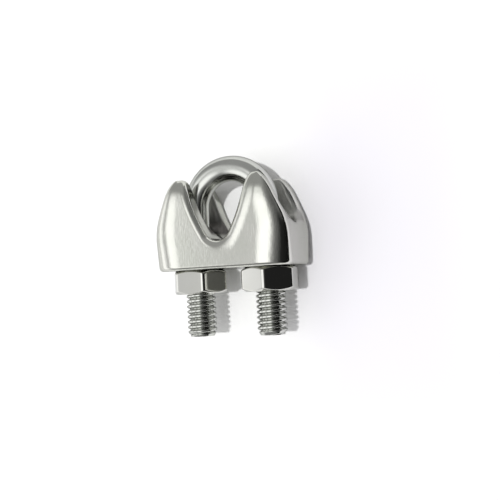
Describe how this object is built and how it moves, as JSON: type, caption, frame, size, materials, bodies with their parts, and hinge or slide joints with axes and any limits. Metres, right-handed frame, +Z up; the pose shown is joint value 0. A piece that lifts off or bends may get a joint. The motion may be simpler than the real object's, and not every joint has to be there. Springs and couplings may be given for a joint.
{
  "type": "wire rope grip",
  "caption": "Small U-bolt wire rope grip of polished stainless steel, with a cast four-horned saddle and hexagon nuts",
  "frame": {"origin": "on the floor under the middle of the whole grip as it lies on its back", "axes": "X along the saddle from the left leg to the right leg, Y up the legs towards the bow, Z up out of the saddle's front face"},
  "size_m": [0.0192, 0.0244, 0.011],
  "materials": {
    "cast_steel": "polished cast stainless steel",
    "rolled_steel": "bright drawn and rolled stainless steel",
    "nut_steel": "bright machined stainless steel"
  },
  "bodies": {
    "saddle": {"saddle": "cast_steel"},
    "u_bolt": {"u_bolt": "rolled_steel"},
    "nut_left": {"nut_left": "nut_steel"},
    "nut_right": {"nut_right": "nut_steel"}
  },
  "joints": [
    {"name": "u_bolt_slide", "type": "slide", "parent": "saddle", "child": "u_bolt", "axis": [0, 1, 0], "range_m": [-0.00402, 0.00507]},
    {"name": "nut_left_turn", "type": "hinge", "parent": "saddle", "child": "nut_left", "pos_m": [-0.0052, -0.00317, 0.0055], "axis": [0, 1, 0], "range_deg": [-2610.5, 2070.5]},
    {"name": "nut_right_turn", "type": "hinge", "parent": "saddle", "child": "nut_right", "pos_m": [0.0052, -0.00317, 0.0055], "axis": [0, 1, 0], "range_deg": [-2610.5, 2070.5]}
  ],
  "couplings": [
    {"joint": "nut_left_turn", "follows": "u_bolt_slide", "rad_per_m": -8976},
    {"joint": "nut_right_turn", "follows": "u_bolt_slide", "rad_per_m": -8976}
  ]
}
